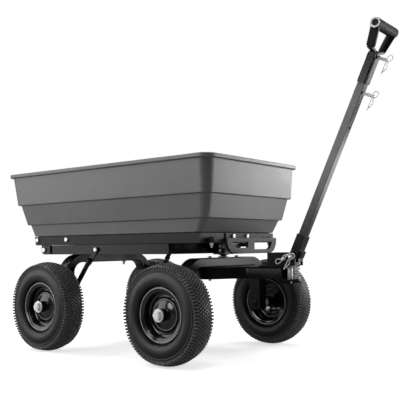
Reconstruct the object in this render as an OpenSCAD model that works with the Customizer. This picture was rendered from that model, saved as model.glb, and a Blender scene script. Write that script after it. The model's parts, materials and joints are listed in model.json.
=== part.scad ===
// Four-wheel tipping dump cart: stepped plastic tub on a hinged bed frame,
// arched axles, steered front axle and a folding pull handle with a tow clevis.
// Millimetres, +X to the pull handle, +Y to the left, +Z up, standing on Z = 0.

/* [Tub] */
// Length over the rim
tub_l = 1050; // [900:10:1200]
// Rear of the rim behind the rear axle
tub_back = 293.5; // [285:0.5:305]
// Width over the rim
tub_w = 576; // [520:2:640]
// Height of the rim above the ground
rim_z = 683; // [660:1:720]
// Underside of the tub floor above the ground
floor_z = 398; // [392:1:404]
// Height of the wall tiers, from the top one to the third
tier_h = [127, 80, 46];
// How far the rear wall leans in over each tier, from the top to the lowest
rear_in = [25, 27, 21, 8];
// How far the front wall leans in over each tier
front_in = [8, 20, 26, 5];
// How far each side wall leans in over each tier
side_in = [9, 16, 7, 2];
// Ledge between one tier and the next
ledge = 9; // [6:1:12]
// Thickness of the tub wall
tub_wall = 4; // [3:0.5:6]
// Overhang of the rolled rim
lip_w = 10; // [6:1:14]
// Height of the rolled rim
lip_h = 14; // [10:1:20]
// Corner radius at the rim
corner_r = 44; // [34:1:60]

/* [Running gear] */
// Front axle behind the front of the bed frame
kingpin_back = 66; // [56:1:96]
// Wheels' centre planes out from the axle legs
wheel_out = 69; // [66:1:90]
// Outer diameter of a tyre
tyre_d = 330; // [310:2:336]
// Width of a tyre
tyre_w = 98; // [90:1:104]
// Depth of the tread grooves
tread_depth = 6; // [4:0.5:8]
// Width of a groove across the tread
tread_gap = 5; // [3:0.5:7]
// Number of lugs round a tyre
tread_count = 40; // [24:2:48]
// Radius of the rim's bead seat
bead_r = 76; // [70:1:80]
// Radius of the rim's flange
flange_r = 90; // [86:1:96]
// Width of the wheel rim over its flanges
rim_w = 65; // [56:1:72]
// Distance of the wheel disc behind the outer flange
disc_depth = 28; // [18:1:36]
// Sheet thickness of the wheel
rim_t = 3; // [2:0.5:4]
// Diameter of a wheel spindle
spindle_d = 20; // [16:1:22]
// Outer diameter of a wheel bearing
bearing_d = 30; // [28:1:34]
// Reach of the hub outwards from the wheel's centre plane
hub_out = 38; // [34:1:44]
// Reach of the hub inwards from the wheel's centre plane
hub_in = 45; // [40:1:48]
// Radial running clearance of shafts and pins
run_fit = 0.05; // [0.02:0.01:0.08]
// End play of a wheel between its collar and washer
end_play = 0.4; // [0.3:0.1:0.8]

/* [Axles] */
// Gap between the chassis and the steered front axle
king_gap = 15; // [12:1:20]
// Depth of an axle arch along the cart
arch_d = 48; // [40:1:56]
// Height of an axle's crossbar
arch_bar = 32; // [28:1:38]
// Width of an axle leg
arch_leg = 44; // [38:1:50]
// Axle legs out past the chassis rails
leg_out = 25; // [18:1:31]
// Outer bend radius of an axle arch
arch_bend = 86; // [70:1:96]
// Wall thickness of an axle arch
arch_t = 4; // [3:0.5:6]
// How far an axle leg reaches below the spindle
leg_below = 26; // [20:1:34]

/* [Chassis] */
// Height of the chassis rails
rail_h = 36; // [34:0.5:37]
// Flange width of the chassis rails
rail_flange = 32; // [26:1:38]
// Sheet thickness of the frames
frame_t = 4; // [3:0.5:5]
// Chassis rails in from the outer faces of the bed rails
rail_inset = 8.5; // [7.5:0.5:18]
// Tipping hinge behind the rear axle
hinge_back = 131; // [120:1:140]
// Diameter of the tipping hinge bolts
hinge_d = 12; // [10:1:14]
// Diameter of the king bolt
king_d = 18; // [14:1:20]
// Diameter of the rear struts
strut_d = 18; // [14:1:20]
// Distance of the struts' top bolt in front of the rear axle
strut_reach = 170; // [150:5:190]

/* [Bed frame] */
// Height of the bed rails
bed_rail_h = 34; // [30:1:36]
// Flange of the bed rails under the tub
bed_flange = 36; // [28:1:44]
// Slot between the bed frame and the tub
bed_fit = 0.5; // [0.3:0.1:1]
// Gap between the bed frame and the chassis rails
bed_gap = 1; // [0.5:0.1:2]

/* [Dump latch] */
// Half width of the release lever
lever_half = 153; // [140:1:160]
// Height of the release lever
lever_h = 54; // [48:1:58]
// Thickness of the release lever
lever_t = 10; // [8:0.5:12]
// Corner radius at the lever's lower ends
lever_r = 46; // [36:1:47]
// Width of the lever's bars
lever_bar = 14; // [11:0.5:16]
// Width of the lever's middle post
lever_post = 22; // [18:1:28]
// Diameter of the lever's pivot rod
lever_pin_d = 8; // [6:0.5:9]
// Diameter of the striker rod
striker_d = 9; // [7:0.5:10]

/* [Drawbar] */
// Height of the drawbar channel
bar_h = 40; // [34:1:44]
// Drawbar's sides in from the outer faces of the axle legs
bar_inset = 90; // [86:1:110]
// Half width of the drawbar's straight neck
bar_narrow = 34; // [32:1:40]
// Front end of the drawbar, from the kingpin
bar_reach = 262; // [250:1:270]
// Inside half width between the hitch cheeks
cheek_half = 22; // [21:0.5:25]
// Thickness of the hitch plates
cheek_t = 5; // [4:0.5:6]
// Handle pivot ahead of the kingpin
pivot_reach = 298; // [290:1:304]
// Handle pivot above the ground
pivot_z = 346; // [343:1:350]
// Diameter of the hitch pins
pin_d = 10; // [8:0.5:12]
// Wire of the support spring
coil_wire = 3; // [2.4:0.1:3.4]
// Outer diameter of the support spring
coil_d = 22; // [19:0.5:24]
// Turns of the support spring
coil_turns = 7; // [5:1:8]

/* [Handle] */
// Length of the handle tube from the pivot
handle_l = 703; // [640:1:760]
// Forward lean of the handle from upright
handle_lean = 25.4; // [20:0.2:30]
// Side of the square handle tube
tube_w = 26; // [22:1:30]
// Wall of the handle tube
tube_t = 2.5; // [1.5:0.5:4]
// Length of the tow clevis plates
clevis_l = 102; // [90:1:120]
// Thickness of the clevis plates
clevis_t = 4; // [3:0.5:6]
// Half width over the grip at its bar
grip_half = 70; // [60:1:80]
// Diameter of the grip bar
grip_d = 34; // [28:1:38]
// Height of the grip bar over the tube's end
grip_rise = 76; // [66:1:90]
// Half width of the grip at its foot
grip_foot = 41; // [34:1:46]
// Width of the grip's side arms
arm_w = 28; // [24:1:32]
// Thickness of the grip's side arms
arm_t = 12; // [8:1:14]
// Wire of the spring clips
clip_wire = 3; // [2:0.2:3.4]

/* [Hidden] */
$fn = 48;

eps = 0.01;
axle_z = tyre_d / 2;
tub_rear = -tub_back;
tub_front = tub_rear + tub_l;

// Bed frame
bed_z = floor_z - frame_t;
tub_low_half = tub_w / 2 - lip_w - side_in[0] - side_in[1] - side_in[2] - 3 * ledge;
tub_low_rear = tub_rear + lip_w + rear_in[0] + rear_in[1] + rear_in[2] + 3 * ledge;
tub_low_front = tub_front - lip_w - front_in[0] - front_in[1] - front_in[2] - 3 * ledge;
bed_in = tub_low_half + bed_fit;
bed_out = bed_in + frame_t;
bed_top = bed_z + bed_rail_h;
bed_rear = tub_low_rear - bed_fit;
bed_front = tub_low_front + bed_fit;
bed_rake = 8;
rail_rear = bed_rear - frame_t;
rail_end = bed_front + frame_t;
bed_bolt_set = 20;
bed_bolt_gap = 177;
bed_bolt_up = 4;
bed_bolt_x = [rail_rear + bed_bolt_set, rail_rear + bed_bolt_set + bed_bolt_gap];

// Chassis, which follows the bed frame
rail_half = bed_out - rail_inset;
kingpin_x = bed_front - kingpin_back;
pivot_x = kingpin_x + pivot_reach;
arch_half = rail_half + leg_out;
rail_top = bed_z - bed_gap;
rail_low = rail_top - rail_h;
hinge_x = -hinge_back;
hinge_z = rail_top - rail_h / 2;
ear_t = 5;
ear_fit = 0.5;
ear_in = rail_half + ear_fit;
ear_out = ear_in + ear_t;
strut_y = rail_half + strut_d / 2;
strut_low = axle_z + 18;
king_box = 26;
king_drop = 4;
king_plate_half = 42;
king_plate_h = 18;
king_rear = kingpin_x - king_box;
rail_front = king_rear - arch_d;
member_rear = rail_front + 10;
king_front = kingpin_x + king_box;
bumper_r = 12;
bumper_in = 48;
bumper_y = bed_out - bumper_in;
bumper_slim = 1;
bumper_taper = 4;
bumper_h = 16;
bumper_bolt = [2.5, 7.5, 17];
bracket_bolt_at = [9, 10];
bracket_bolt_gap = 16;
bracket_bolt_r = 6;
arch_bolt_y = 97;
bar_wide = arch_half - bar_inset;
drawbar_bolt_inset = 69;
drawbar_bolt_y = bar_wide - drawbar_bolt_inset;
rear_arch_z = rail_low;
front_arch_z = rail_low - king_gap;

// Zinc fasteners
head_r = 8;
head_h = 6;
bolt_r = 5;
bolt_poke = 9;
washer_r = 21.5;
washer_t = 3;
nut_r = 16;
nut_h = 9;
tip_l = 2;

// Wheels
wheel_y = arch_half + wheel_out;
collar_r = spindle_d / 2 + 6;
bearing_flange = 3;
bearing_l = 14;
hub_r = bearing_d / 2 + 5;
hub_face_in = wheel_y - hub_in - bearing_flange;
hub_face_out = wheel_y + hub_out + bearing_flange;
nut_in_y = hub_face_out + end_play + washer_t;
nut_out = nut_in_y + nut_h;

// Drawbar and hitch
bar_top = front_arch_z - arch_bar;
bar_low = bar_top - bar_h;
bar_front = kingpin_x + bar_reach;
bar_bend = 45;
bar_neck = 106;
base_z = bar_top + cheek_t;
cheek_top = pivot_z + 13;
cheek_l = 94;
cheek_rear = pivot_x - cheek_l;
cheek_foot = 36;
plate_front = pivot_x - 8;
lip_wide = pivot_x;
lip_front = pivot_x + 18;
lip_nose = 12;
lip_rear = bar_front - 18;
lip_low = bar_low - cheek_t;
lip_fold = 9;
hitch_bolt_x = (bar_front + plate_front) / 2;
spacer_r = 9;
tab_reach = 25;
tab_at = [3, 27];
tab_half = 12;
pad_at = [4, 17];
pad_half = 10;
coil_x = pivot_x + 5;
coil_top = pivot_z - 18;
pin_tip = 14;
pin_head = 4;
pin_rim = 3;
lock_back = 26;
lock_drop = 8;
hitch_pin_at = [[pivot_x, pivot_z], [pivot_x - lock_back, pivot_z - lock_drop]];
hitch_clip_turn = [28, 230];
// Distance of each pin's clip outside the cheek
hitch_clip_out = [11, 5];
// How far each clip's bow is slid away from its pin
hitch_clip_slide = [-3, 14];

// Handle
base_w = 31;
base_half = 17;
base_l = 76;
base_seat = 30;
boss_half = cheek_half - ear_fit;
boss_r = 15;
clevis_gap = 34;
clevis_pin_drop = 15;
low_pin_drop = 131;
pin_at = [handle_l - clevis_pin_drop, handle_l - low_pin_drop];
pin_reach = 54;
spare_drop = 248;
spare_at = handle_l - spare_drop;
spare_d = 8;
clip_bow = 9;
clip_leg = 46;

// The origin lies under the middle of the cart's box, from the tub's rim to the handle's front
grip_front = pivot_x + (handle_l + grip_rise) * sin(handle_lean) + grip_d / 2;
clip_front = pivot_x + (pin_at[0] + clip_bow) * sin(handle_lean)
  + (pin_reach - pin_tip / 2 + clip_bow) * cos(handle_lean) + clip_bow + clip_wire / 2;
mid_x = (tub_rear + max(grip_front, clip_front)) / 2;

// Latch
latch_x = rail_end;
latch_reach = 49;
latch_half = 84;
latch_bolt_y = 42;
ear_y = latch_half - frame_t;
lever_x = latch_x + latch_reach;
lever_top = bed_z + 16;
lever_low = lever_top - lever_h;
lever_pivot_z = lever_top - lever_bar / 2;
pivot_rod_x = lever_x - lever_bar / 2 - 1;
lug_t = 6;
slot_in = 30;
slot_sill = 6;
hook_t = 10;
latch_clear = 0.5;
striker_half = 36;
striker_slim = 0.8;
striker_x = bed_front - 1;
striker_front = striker_x + striker_d / 2;
striker_z = bed_z - striker_d / 2 - bed_gap;

// Plain shapes
module at_origin() {
  translate([-mid_x, 0, 0])
    children();
}

module block(x0, x1, y0, y1, z0, z1) {
  translate([x0, y0, z0])
    cube([x1 - x0, y1 - y0, z1 - z0]);
}

module along_y(r, y0, y1) {
  translate([0, y0, 0])
    rotate([-90, 0, 0])
      cylinder(r = r, h = y1 - y0);
}

module along_x(r, x0, x1) {
  translate([x0, 0, 0])
    rotate([0, 90, 0])
      cylinder(r = r, h = x1 - x0);
}

module along_z(r, z0, z1) {
  translate([0, 0, z0])
    cylinder(r = r, h = z1 - z0);
}

module both_sides() {
  children();
  mirror([0, 1, 0])
    children();
}

// Hexagon head on a short shank, standing on the XY plane
module hex_head(shank) {
  cylinder(r = head_r, h = head_h, $fn = 6);
  translate([0, 0, -shank])
    cylinder(r = bolt_r, h = shank);
}

// Turns what stands on the XY plane to face along +X
module face_front() {
  rotate([0, 90, 0])
    children();
}

// Tub: a closed shell lofted through rounded rectangles

arc_steps = 8;
tier_end = [for (i = [0 : 3]) i < 3 ? rim_z - tier_sum(tier_h, i) : floor_z];

function tier_sum(v, i) = i < 0 ? 0 : v[i] + tier_sum(v, i - 1);
function level_r(z) = max(corner_r - 0.09 * (rim_z - z), 10);
function inset_top(v, i) = lip_w + tier_sum(v, i - 1) + ledge * i;
function inset_low(v, i) = inset_top(v, i) + v[i];

// One level: insets of the rear, front and side walls, and its height
function level_top(i) = [inset_top(rear_in, i), inset_top(front_in, i), inset_top(side_in, i)];
function level_low(i) = [inset_low(rear_in, i), inset_low(front_in, i), inset_low(side_in, i)];

function loft_ring(inset, grow, z, r) =
  let (
    xr = tub_rear + inset[0] + grow,
    xf = tub_front - inset[1] - grow,
    yh = tub_w / 2 - inset[2] - grow,
    centres = [[xf - r, yh - r], [xr + r, yh - r], [xr + r, r - yh], [xf - r, r - yh]]
  )
  [for (c = [0 : 3]) for (k = [0 : arc_steps])
    let (a = 90 * (c + k / arc_steps))
    [centres[c][0] + r * cos(a), centres[c][1] + r * sin(a), z]];

outer_rings = concat(
  [for (i = [3 : -1 : 0]) for (part = [0, 1])
    let (z = part == 0 ? tier_end[i] : (i == 0 ? rim_z - lip_h : tier_end[i - 1]))
    loft_ring(part == 0 ? level_low(i) : level_top(i), 0, z, level_r(z))],
  [loft_ring([0, 0, 0], 0, rim_z - lip_h, corner_r)],
  [loft_ring([0, 0, 0], 0, rim_z - 3, corner_r)],
  [loft_ring([0, 0, 0], 3, rim_z, corner_r - 3)]
);
inner_rings = concat(
  [loft_ring(level_top(0), tub_wall - 3, rim_z, level_r(rim_z) - tub_wall + 3)],
  [for (i = [0 : 3]) for (part = [0, 1])
    let (z = part == 1 ? tier_end[i] : (i == 0 ? rim_z - 3 : tier_end[i - 1]))
    loft_ring(part == 0 ? level_top(i) : level_low(i), tub_wall, z + (i == 0 && part == 0 ? 0 : tub_wall),
      level_r(z) - tub_wall)]
);
tub_rings = concat(outer_rings, inner_rings);

module tub() {
  color([0.36, 0.36, 0.37])
    at_origin()
      loft(tub_rings);
}

// Closed loft through rings of equal length, capped at both ends
module loft(rings) {
  n = len(rings[0]);
  m = len(rings);
  side_faces = [for (j = [0 : m - 2]) for (i = [0 : n - 1])
    let (a = j * n + i, b = j * n + (i + 1) % n)
    each [[a, b + n, b], [a, a + n, b + n]]];
  low_cap = [[for (i = [0 : n - 1]) i]];
  high_cap = [[for (i = [n - 1 : -1 : 0]) (m - 1) * n + i]];
  polyhedron(points = [for (ring = rings) each ring], faces = concat(side_faces, low_cap, high_cap));
}

// Bed frame: angle rails round the foot of the tub

module bed_rail() {
  foot = rail_rear + bed_rake;
  color([0.2, 0.2, 0.21])
    translate([0, bed_out, 0])
      rotate([90, 0, 0]) {
        linear_extrude(frame_t)
          polygon([[foot, bed_z], [rail_end, bed_z], [rail_end, bed_top], [rail_rear, bed_top]]);
        linear_extrude(bed_flange)
          translate([foot, bed_z])
            square([rail_end - foot, frame_t]);
      }
}

module bed_rail_left() {
  at_origin()
    bed_rail();
}

module bed_rail_right() {
  at_origin()
    mirror([0, 1, 0])
      bed_rail();
}

// Cross angle, with its upright leg outside the tub and its foot under the floor
module cross_angle(x_in, way) {
  foot_half = bed_out - bed_flange;
  color([0.3, 0.3, 0.31])
    translate([x_in, 0, 0])
      mirror([way > 0 ? 0 : 1, 0, 0]) {
        block(0, frame_t, -bed_in, bed_in, floor_z, bed_top);
        block(-bed_flange, frame_t, -foot_half, foot_half, bed_z, floor_z);
      }
}

module bed_front_angle() {
  at_origin() {
    cross_angle(bed_front, 1);
    both_sides()
      color([0.3, 0.3, 0.31])
        block(rail_end - frame_t, rail_end + 2 * bumper_r, bumper_y - bumper_r, bumper_y + bumper_r,
          bed_z, floor_z);
  }
}

module bed_rear_angle() {
  at_origin()
    cross_angle(bed_rear, -1);
}

// Ears that hang from the bed rails outside the chassis rails
module hinge_ears() {
  color([0.13, 0.13, 0.14])
    at_origin()
      both_sides()
        difference() {
          union() {
            block(hinge_x - rail_h / 2, hinge_x + rail_h, ear_in, ear_out, hinge_z, bed_z);
            translate([hinge_x, 0, hinge_z])
              along_y(rail_h / 2, ear_in, ear_out);
            block(hinge_x, hinge_x + rail_h, ear_in, ear_out, rail_low, hinge_z);
          }
          translate([hinge_x, 0, hinge_z])
            along_y(hinge_d / 2, ear_in - 1, ear_out + 1);
        }
}

// Shoulder bolts that the bed swings on, with a nut inside the chassis rail
module hinge_bolts() {
  nut_in = rail_half - frame_t - ear_fit;
  color([0.75, 0.76, 0.77])
    at_origin()
      both_sides()
        translate([hinge_x, 0, hinge_z]) {
          along_y(hinge_d / 2, nut_in - nut_h, ear_out + eps);
          along_y(hinge_d / 2 + 3, nut_in - nut_h, nut_in);
          along_y(hinge_d / 2 + 3, ear_out, ear_out + head_h);
        }
}

// Bolts that hold the tub to the bed rails
module bed_bolts() {
  color([0.75, 0.76, 0.77])
    at_origin()
      both_sides()
        for (x = bed_bolt_x)
          translate([x, bed_out, bed_z + bed_rail_h / 2 + bed_bolt_up])
            along_y(head_r, 0, head_h);
}

// Dump latch: bracket on the bed's front angle, with a rod for the lever

module latch_bracket() {
  color([0.24, 0.24, 0.25])
    at_origin()
      difference() {
        union() {
          block(latch_x, latch_x + frame_t, -latch_half, latch_half, floor_z, bed_top);
          both_sides() {
            block(latch_x, pivot_rod_x, ear_y, latch_half, lever_pivot_z - lever_bar / 2, lever_top);
            translate([pivot_rod_x, 0, lever_pivot_z])
              along_y(lever_bar / 2, ear_y, latch_half);
          }
        }
        translate([pivot_rod_x, 0, lever_pivot_z])
          along_y(lever_pin_d / 2, -latch_half - 1, latch_half + 1);
      }
}

module latch_bolts() {
  color([0.78, 0.79, 0.8])
    at_origin()
      both_sides()
        translate([latch_x + frame_t, latch_bolt_y, bed_z + bed_rail_h / 2 + 6])
          face_front()
            cylinder(r = head_r, h = head_h, $fn = 6);
}

module lever_rod() {
  color([0.6, 0.6, 0.62])
    at_origin()
      translate([pivot_rod_x, 0, lever_pivot_z])
        along_y(lever_pin_d / 2, -latch_half - 3, latch_half + 3);
}

// Outline of half the release lever, seen from the front: Y across, Z up
module lever_outline(inset) {
  low = lever_low + inset;
  side = lever_half - inset * 2.4;
  round_r = lever_r - inset * 1.2;
  intersection() {
    translate([0, low])
      square([side, lever_top - inset - low]);
    union() {
      translate([0, low + round_r])
        square([side, lever_h]);
      translate([0, low])
        square([side - round_r, lever_h]);
      translate([side - round_r, low + round_r])
        circle(r = round_r);
    }
  }
}

// Half of the lever's face: an opening beside a middle post, with its lower edge raised by a sill
module lever_face(post, sill) {
  difference() {
    lever_outline(0);
    intersection() {
      lever_outline(lever_bar);
      translate([post, lever_low + lever_bar + sill])
        square([lever_half, lever_h]);
    }
  }
}

module dump_lever() {
  lug_y = ear_y - ear_fit;
  color([0.1, 0.1, 0.11])
    at_origin()
      difference() {
        union() {
          translate([lever_x, 0, 0])
            rotate([90, 0, 90])
              linear_extrude(lever_t)
                union() {
                  lever_face(lever_post / 2, -eps);
                  mirror([1, 0])
                    lever_face(slot_in, slot_sill);
                }
          // Hook that stands in front of the striker
          block(striker_front + latch_clear, lever_x + lever_t / 2, -hook_t / 2, hook_t / 2,
            striker_z - striker_d, striker_z + striker_d / 2);
          // Lugs on the back that turn on the rod, inside the bracket's ears
          both_sides() {
            block(pivot_rod_x, lever_x + lever_t / 2, lug_y - lug_t, lug_y,
              lever_pivot_z - lever_bar / 2, lever_top);
            translate([pivot_rod_x, 0, lever_pivot_z])
              along_y(lever_bar / 2, lug_y - lug_t, lug_y);
          }
        }
        translate([pivot_rod_x, 0, lever_pivot_z])
          along_y(lever_pin_d / 2 + run_fit, -lug_y - 1, lug_y + 1);
      }
}

// Chassis: two channel rails tied by cross-members

module chassis_rail() {
  color([0.24, 0.24, 0.25])
    difference() {
      intersection() {
        translate([0, rail_half, 0])
          rotate([90, 0, 0])
            linear_extrude(rail_flange)
              union() {
                translate([hinge_x, rail_low])
                  square([rail_front - hinge_x, rail_h]);
                translate([hinge_x, hinge_z])
                  circle(r = rail_h / 2);
              }
        difference() {
          block(hinge_x - rail_h, rail_front, rail_half - rail_flange, rail_half, rail_low, rail_top);
          block(hinge_x - rail_h - 1, rail_front + 1, rail_half - rail_flange - 1, rail_half - frame_t,
            rail_low + frame_t, rail_top - frame_t);
        }
      }
      translate([hinge_x, 0, hinge_z])
        along_y(hinge_d / 2 + run_fit, 0, rail_half + 1);
      translate([strut_reach, 0, hinge_z])
        along_y(bolt_r, rail_half - frame_t - 1, rail_half + 1);
    }
}

module chassis_rail_left() {
  at_origin()
    chassis_rail();
}

module chassis_rail_right() {
  at_origin()
    mirror([0, 1, 0])
      chassis_rail();
}

// Inverted channel between the rails
module cross_channel(x0, x1) {
  half = rail_half - rail_flange;
  difference() {
    block(x0, x1, -half, half, rail_low, rail_top);
    block(x0 + frame_t, x1 - frame_t, -half - 1, half + 1, rail_low - 1, rail_top - frame_t);
  }
}

module chassis_rear_member() {
  color([0.22, 0.22, 0.23])
    at_origin()
      difference() {
        cross_channel(-arch_d / 2, arch_d / 2);
        both_sides()
          translate([0, arch_bolt_y, 0])
            along_z(bolt_r, rail_low, rail_top + 1);
      }
}

// Plan of the front member, which sweeps from the rails' ends in to the kingpin box
module member_plan(inset) {
  out = rail_half - 8 * inset;
  end = rail_front + inset;
  polygon([[end, out], [king_rear - inset, king_box], [king_rear - inset, -king_box], [end, -out],
    [end, rail_flange - out], [member_rear + inset, -king_box], [member_rear + inset, king_box],
    [end, out - rail_flange]]);
}

module chassis_front_member() {
  color([0.22, 0.22, 0.23])
    at_origin()
      difference() {
        translate([0, 0, rail_low])
          linear_extrude(rail_h)
            member_plan(0);
        translate([0, 0, rail_low - 1])
          linear_extrude(rail_h - frame_t + 1)
            member_plan(frame_t);
      }
}

// Box ahead of the front cross-member that carries the king bolt, with a plate for the striker
module kingpin_bracket() {
  color([0.14, 0.14, 0.15])
    at_origin()
      difference() {
        union() {
          block(king_rear, king_front, -king_box, king_box, rail_low - king_drop, rail_top);
          block(king_front - frame_t, king_front, -king_plate_half, king_plate_half,
            rail_top - king_plate_h, rail_top);
        }
        translate([kingpin_x, 0, 0])
          along_z(king_d / 2, rail_low - king_drop - 1, rail_top - frame_t);
      }
}

// Heads of the bolts in both sides of the kingpin box
module bracket_bolts() {
  color([0.78, 0.79, 0.8])
    at_origin()
      both_sides()
        for (i = [0, 1])
          translate([kingpin_x + bracket_bolt_at[0], king_box,
            rail_low + bracket_bolt_at[1] + i * bracket_bolt_gap])
            along_y(bracket_bolt_r, 0, head_h);
}

module king_bolt() {
  washer_low = front_arch_z + end_play;
  color([0.2, 0.2, 0.21])
    at_origin()
      translate([kingpin_x, 0, 0]) {
        along_z(king_d / 2, bar_top - cheek_t - end_play - nut_h - tip_l, rail_top - frame_t);
        along_z(king_d / 2 + 10, washer_low, washer_low + washer_t);
      }
}

module king_nut() {
  nut_top = bar_top - cheek_t - end_play;
  color([0.7, 0.71, 0.72])
    at_origin()
      translate([kingpin_x, 0, nut_top - nut_h])
        difference() {
          cylinder(r = king_d / 2 + 6, h = nut_h, $fn = 6);
          translate([0, 0, -1])
            cylinder(r = king_d / 2, h = nut_h + 2);
        }
}

// Rubber knobs on tabs of the bed's front angle
module bumpers() {
  color([0.06, 0.06, 0.06])
    at_origin()
      both_sides()
        translate([rail_end + bumper_r, bumper_y, floor_z]) {
          along_z(bumper_r - bumper_slim, 0, bumper_h - bumper_taper);
          translate([0, 0, bumper_h - bumper_taper])
            cylinder(r1 = bumper_r - bumper_slim, r2 = bumper_r - bumper_slim - bumper_taper,
              h = bumper_taper);
        }
}

// Pointed bolts under the knobs' tabs
module bumper_bolts() {
  color([0.78, 0.79, 0.8])
    at_origin()
      both_sides()
        translate([rail_end + bumper_r, bumper_y, bed_z - bumper_bolt[2]])
          cylinder(r1 = bumper_bolt[0], r2 = bumper_bolt[1], h = bumper_bolt[2]);
}

// U-shaped rod that the latch hook catches
module latch_striker() {
  r = striker_d / 2;
  color([0.75, 0.76, 0.77])
    at_origin() {
      translate([striker_x, 0, striker_z])
        along_y(r, -striker_half - r, striker_half + r);
      for (y = [-striker_half, striker_half])
        translate([striker_x, y, striker_z])
          along_x(r - striker_slim, king_front - striker_x, 0);
    }
}

// Axle arches: bent box tubes, open at the foot of the legs

module arch_outline(top, inset) {
  half = arch_half - inset;
  low = axle_z - leg_below - (inset > 0 ? 1 : 0);
  inner_half = arch_half - arch_leg + inset;
  inner_top = top - arch_bar + inset;
  outer_r = arch_bend - inset;
  inner_r = max(arch_bend - arch_leg + inset, 4);
  difference() {
    union() {
      translate([-half, low])
        square([2 * half, top - inset - outer_r - low]);
      translate([-half + outer_r, low])
        square([2 * (half - outer_r), top - inset - low]);
      for (side = [-1, 1])
        translate([side * (half - outer_r), top - inset - outer_r])
          circle(r = outer_r);
    }
    difference() {
      translate([-inner_half, low - 1])
        square([2 * inner_half, inner_top - low + 1]);
      for (side = [-1, 1])
        translate([side * (inner_half - inner_r / 2 + eps), inner_top - inner_r / 2 + eps])
          difference() {
            square([inner_r, inner_r], center = true);
            translate([-side * inner_r / 2, -inner_r / 2])
              circle(r = inner_r);
          }
    }
  }
}

module axle_arch(x, top) {
  translate([x, 0, 0])
    difference() {
      translate([-arch_d / 2, 0, 0])
        rotate([90, 0, 90])
          linear_extrude(arch_d)
            arch_outline(top, 0);
      translate([-arch_d / 2 + arch_t, 0, 0])
        rotate([90, 0, 90])
          linear_extrude(arch_d - 2 * arch_t)
            arch_outline(top, arch_t);
      translate([0, 0, axle_z])
        along_y(spindle_d / 2, -arch_half - 1, arch_half + 1);
    }
}

module rear_arch() {
  color([0.12, 0.12, 0.13])
    at_origin()
      difference() {
        axle_arch(0, rear_arch_z);
        both_sides()
          translate([0, arch_bolt_y, 0])
            along_z(bolt_r, rear_arch_z - arch_bar - 1, rear_arch_z + 1);
      }
}

module front_arch() {
  color([0.3, 0.3, 0.31])
    at_origin()
      difference() {
        axle_arch(kingpin_x, front_arch_z);
        translate([kingpin_x, 0, 0])
          along_z(king_d / 2 + run_fit, front_arch_z - arch_bar - 1, front_arch_z + 1);
        both_sides()
          translate([kingpin_x, drawbar_bolt_y, 0])
            along_z(bolt_r, front_arch_z - arch_bar - 1, front_arch_z + 1);
      }
}

// Stub axles through the legs, with a collar behind each wheel
module spindle_pair(x) {
  color([0.6, 0.61, 0.62])
    translate([x, 0, axle_z])
      both_sides() {
        along_y(spindle_d / 2, arch_half - arch_leg, nut_out + tip_l);
        along_y(collar_r, arch_half, hub_face_in - end_play);
      }
}

module nut_pair(x) {
  color([0.8, 0.81, 0.82])
    translate([x, 0, axle_z])
      both_sides()
        difference() {
          union() {
            along_y(washer_r, hub_face_out + end_play, nut_in_y);
            translate([0, nut_in_y, 0])
              rotate([-90, 0, 0])
                cylinder(r = nut_r, h = nut_h, $fn = 6);
          }
          along_y(spindle_d / 2, 0, nut_out + 1);
        }
}

module rear_spindles() {
  at_origin()
    spindle_pair(0);
}

module front_spindles() {
  at_origin()
    spindle_pair(kingpin_x);
}

module rear_nuts() {
  at_origin()
    nut_pair(0);
}

module front_nuts() {
  at_origin()
    nut_pair(kingpin_x);
}

// Braces from the chassis rails down to the rear axle legs
module rear_struts() {
  lean = atan2(strut_reach - arch_d / 2, hinge_z - strut_low);
  reach = norm([strut_reach - arch_d / 2, hinge_z - strut_low]);
  color([0.1, 0.1, 0.11])
    at_origin()
      both_sides()
        difference() {
          translate([strut_reach, 0, hinge_z])
            rotate([0, lean, 0])
              difference() {
                union() {
                  translate([0, strut_y, 0])
                    along_z(strut_d / 2, -reach - strut_d, -2.6 * strut_d);
                  block(-strut_d / 2, strut_d / 2, rail_half, rail_half + ear_t, -3.4 * strut_d, 0);
                  along_y(strut_d / 2, rail_half, rail_half + ear_t);
                }
                along_y(bolt_r, rail_half - 1, rail_half + ear_t + 1);
              }
          block(-strut_reach, arch_d / 2, 0, arch_half, 0, hinge_z);
        }
}

module strut_bolts() {
  color([0.75, 0.76, 0.77])
    at_origin()
      both_sides()
        translate([strut_reach, rail_half + ear_t, hinge_z])
          rotate([-90, 0, 0])
            hex_head(ear_t + frame_t);
}

module rear_arch_bolts() {
  low = rear_arch_z - arch_bar;
  color([0.3, 0.3, 0.31])
    at_origin()
      both_sides()
        translate([0, arch_bolt_y, 0]) {
          along_z(bolt_r, low - head_h - bolt_poke, rail_top);
          translate([0, 0, low - head_h])
            cylinder(r = head_r, h = head_h, $fn = 6);
        }
}

// Drawbar: pressed channel under the front axle that narrows to a straight neck

module drawbar_plan(inset) {
  x0 = kingpin_x - arch_d / 2 + (inset > 0 ? -1 : 0);
  x3 = bar_front + (inset > 0 ? 1 : 0);
  x1 = kingpin_x + bar_bend;
  x2 = kingpin_x + bar_neck;
  wide = bar_wide - inset;
  narrow = bar_narrow - inset;
  polygon([[x0, -wide], [x1 - inset / 2, -wide], [x2 - inset / 2, -narrow], [x3, -narrow],
    [x3, narrow], [x2 - inset / 2, narrow], [x1 - inset / 2, wide], [x0, wide]]);
}

module drawbar() {
  color([0.06, 0.06, 0.065])
    at_origin()
      difference() {
        translate([0, 0, bar_low])
          linear_extrude(bar_h)
            drawbar_plan(0);
        translate([0, 0, bar_low - 1])
          linear_extrude(bar_h - cheek_t + 1)
            drawbar_plan(cheek_t);
        translate([kingpin_x, 0, 0])
          along_z(king_d / 2 + 1, bar_low, bar_top + 1);
        both_sides()
          translate([kingpin_x, drawbar_bolt_y, 0])
            along_z(bolt_r, bar_low, bar_top + 1);
      }
}

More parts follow.
